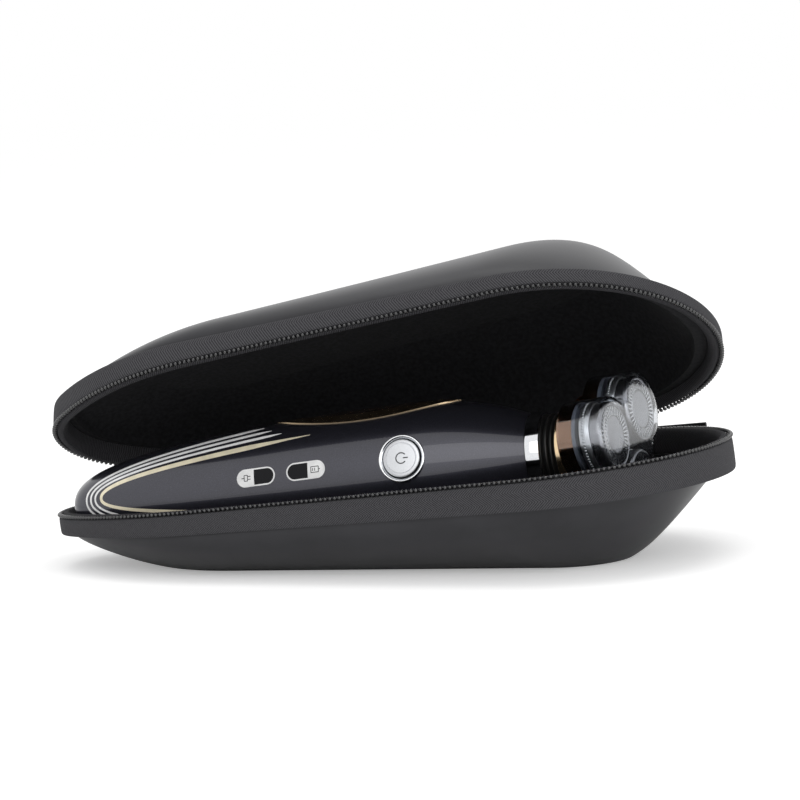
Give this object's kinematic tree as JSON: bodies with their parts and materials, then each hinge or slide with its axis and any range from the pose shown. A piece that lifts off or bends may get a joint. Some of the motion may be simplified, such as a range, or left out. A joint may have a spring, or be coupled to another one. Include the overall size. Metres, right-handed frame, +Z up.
{
  "type": "shaver travel case",
  "caption": "Moulded zip-round travel case with a hinged lid, holding a cordless rotary shaver with a tilting three-unit head under a clear cap.",
  "frame": {"origin": "on the floor under the middle of the closed rim outline, at the centre of the flat resting face", "axes": "+X from the tail to the wide head end, -Y the front where the case opens, +Y the hinge side, +Z up"},
  "size_m": [0.1971, 0.0957, 0.0866],
  "materials": {
    "charcoal_shell_cloth": "smooth satin charcoal cloth over moulded foam",
    "black_lining": "short napped black lining",
    "twill_band": "woven twill band",
    "zipper_tape": "fine ribbed black tape",
    "zipper_teeth": "black moulded teeth with a slight gloss",
    "black_metal": "black enamelled cast metal",
    "blue_black_gloss": "deep gloss blue-black",
    "dark_handle": "dark gloss",
    "brown_black_gloss": "dark brown gloss",
    "gold_trim": "satin gold",
    "bright_chrome": "polished",
    "satin_silver": "satin",
    "window_gloss": "smoked gloss windows with a pale outline",
    "inner_black": "plain moulded",
    "cell_sleeve": "sleeved cell",
    "board_green": "solder masked board",
    "steel": "plain steel",
    "contact_nickel": "nickel plated",
    "neck_rubber": "soft black",
    "white_gear": "slick white",
    "silver_holder": "silver metallic",
    "foil_steel": "fine slotted steel",
    "clear_cap": "clear moulded"
  },
  "bodies": {
    "base": {"base_shell": "charcoal_shell_cloth", "base_lining": "black_lining", "base_rim_band": "twill_band", "base_zipper_tape": "zipper_tape", "base_zipper_chain": "zipper_teeth", "base_zipper_stops": "black_metal", "base_hinge_strip": "twill_band"},
    "lid": {"lid_shell": "charcoal_shell_cloth", "lid_lining": "black_lining", "lid_rim_band": "twill_band", "lid_zipper_tape": "zipper_tape", "lid_zipper_chain": "zipper_teeth", "lid_zipper_stops": "black_metal", "lid_hinge_strip": "twill_band"},
    "head_end_slider": {"slider_head_end": "black_metal"},
    "head_end_pull": {"pull_head_end": "black_metal"},
    "tail_end_slider": {"slider_tail_end": "black_metal"},
    "tail_end_pull": {"pull_tail_end": "black_metal"},
    "shaver": {"handle_back_shell": "dark_handle", "front_panel": "blue_black_gloss", "side_grips": "brown_black_gloss", "gold_trim": "gold_trim", "indicator_windows": "window_gloss", "button_bezel": "bright_chrome", "chassis": "inner_black", "battery": "cell_sleeve", "circuit_board": "board_green", "motor": "steel", "charging_jack": "contact_nickel", "neck_ring": "bright_chrome", "neck_bellows": "neck_rubber"},
    "button": {"power_button": "satin_silver"},
    "head": {"head_base": "inner_black", "gold_collar": "gold_trim", "head_frame": "inner_black"},
    "pinion": {"drive_pinion": "white_gear"},
    "spindle": {"motor_spindle": "steel"},
    "cap": {"clear_cap": "clear_cap"},
    "gear_a": {"gear_a": "white_gear"},
    "unit_a": {"holder_a": "silver_holder", "foil_a": "foil_steel"},
    "cutter_a": {"cutter_a": "steel"},
    "gear_b": {"gear_b": "white_gear"},
    "unit_b": {"holder_b": "silver_holder", "foil_b": "foil_steel"},
    "cutter_b": {"cutter_b": "steel"},
    "gear_c": {"gear_c": "white_gear"},
    "unit_c": {"holder_c": "silver_holder", "foil_c": "foil_steel"},
    "cutter_c": {"cutter_c": "steel"}
  },
  "joints": [
    {"name": "lid_opening", "type": "hinge", "parent": "base", "child": "lid", "pos_m": [-0.00005, 0.0425, 0.024], "axis": [-0.9918, -0.0941, -0.0868], "range_deg": [-30.7, 147.3]},
    {"name": "head_end_slider_travel", "type": "hinge", "parent": "base", "child": "head_end_slider", "pos_m": [0.0507, 0, 0.02844], "axis": [0.0872, 0, -0.9962], "range_deg": [0, 160]},
    {"name": "tail_end_slider_travel", "type": "hinge", "parent": "base", "child": "tail_end_slider", "pos_m": [-0.03607, -0.04178, 0.02084], "axis": [-0.0872, 0, 0.9962], "range_deg": [0, 19.5]},
    {"name": "head_end_pull_swing", "type": "hinge", "parent": "head_end_slider", "child": "head_end_pull", "pos_m": [0.06273, 0.0475, 0.02688], "axis": [-0.0872, 0, 0.9962], "range_deg": [0, 120]},
    {"name": "tail_end_pull_swing", "type": "hinge", "parent": "tail_end_slider", "child": "tail_end_pull", "pos_m": [-0.06188, 0.03632, 0.01598], "axis": [0.0872, 0, -0.9962], "range_deg": [0, 120]},
    {"name": "shaver_lift", "type": "slide", "parent": "base", "child": "shaver", "axis": [-0.0872, 0, 0.9962], "range_m": [0, 0.008]},
    {"name": "power_press", "type": "slide", "parent": "shaver", "child": "button", "axis": [0.0299, 0.9511, -0.3076], "range_m": [0, 0.0006], "stiffness_N_per_m": 600},
    {"name": "head_nod", "type": "hinge", "parent": "shaver", "child": "head", "pos_m": [0.05167, -0.003, 0.02888], "axis": [-0.092, 0.309, 0.9466], "range_deg": [-5, 5], "stiffness_Nm_per_rad": 0.4},
    {"name": "pinion_spin", "type": "hinge", "parent": "head", "child": "pinion", "pos_m": [0.05167, -0.003, 0.02888], "axis": [0.975, -0.1651, 0.1487], "continuous": true},
    {"name": "motor_spin", "type": "hinge", "parent": "shaver", "child": "spindle", "pos_m": [0.05167, -0.003, 0.02888], "axis": [0.9953, 0, 0.0967], "continuous": true},
    {"name": "gear_a_spin", "type": "hinge", "parent": "head", "child": "gear_a", "pos_m": [0.04932, -0.01387, 0.0322], "axis": [0.975, -0.1651, 0.1487], "continuous": true},
    {"name": "unit_a_tilt", "type": "hinge", "parent": "head", "child": "unit_a", "pos_m": [0.06443, -0.01642, 0.0345], "axis": [-0.092, 0.309, 0.9466], "range_deg": [-3.5, 3.5], "stiffness_Nm_per_rad": 0.03},
    {"name": "cutter_a_spin", "type": "hinge", "parent": "unit_a", "child": "cutter_a", "pos_m": [0.04932, -0.01387, 0.0322], "axis": [0.975, -0.1651, 0.1487], "continuous": true},
    {"name": "gear_b_spin", "type": "hinge", "parent": "head", "child": "gear_b", "pos_m": [0.05191, 0.00554, 0.03673], "axis": [0.975, -0.1651, 0.1487], "continuous": true},
    {"name": "unit_b_tilt", "type": "hinge", "parent": "head", "child": "unit_b", "pos_m": [0.06703, 0.00298, 0.03903], "axis": [0.2212, 0.6566, -0.7211], "range_deg": [-3.5, 3.5], "stiffness_Nm_per_rad": 0.03},
    {"name": "cutter_b_spin", "type": "hinge", "parent": "unit_b", "child": "cutter_b", "pos_m": [0.05191, 0.00554, 0.03673], "axis": [0.975, -0.1651, 0.1487], "continuous": true},
    {"name": "gear_c_spin", "type": "hinge", "parent": "head", "child": "gear_c", "pos_m": [0.05376, -0.00067, 0.01771], "axis": [0.975, -0.1651, 0.1487], "continuous": true},
    {"name": "unit_c_tilt", "type": "hinge", "parent": "head", "child": "unit_c", "pos_m": [0.06888, -0.00323, 0.02001], "axis": [-0.1292, -0.9656, -0.2255], "range_deg": [-3.5, 3.5], "stiffness_Nm_per_rad": 0.03},
    {"name": "cutter_c_spin", "type": "hinge", "parent": "unit_c", "child": "cutter_c", "pos_m": [0.05376, -0.00067, 0.01771], "axis": [0.975, -0.1651, 0.1487], "continuous": true},
    {"name": "cap_pull", "type": "slide", "parent": "head", "child": "cap", "axis": [0.975, -0.1651, 0.1487], "range_m": [0, 0.00075]}
  ],
  "couplings": [
    {"joint": "motor_spin", "follows": "pinion_spin", "ratio": 1},
    {"joint": "gear_a_spin", "follows": "pinion_spin", "ratio": -0.53333},
    {"joint": "cutter_a_spin", "follows": "pinion_spin", "ratio": -0.53333},
    {"joint": "gear_b_spin", "follows": "pinion_spin", "ratio": -0.53333},
    {"joint": "cutter_b_spin", "follows": "pinion_spin", "ratio": -0.53333},
    {"joint": "gear_c_spin", "follows": "pinion_spin", "ratio": -0.53333},
    {"joint": "cutter_c_spin", "follows": "pinion_spin", "ratio": -0.53333}
  ]
}
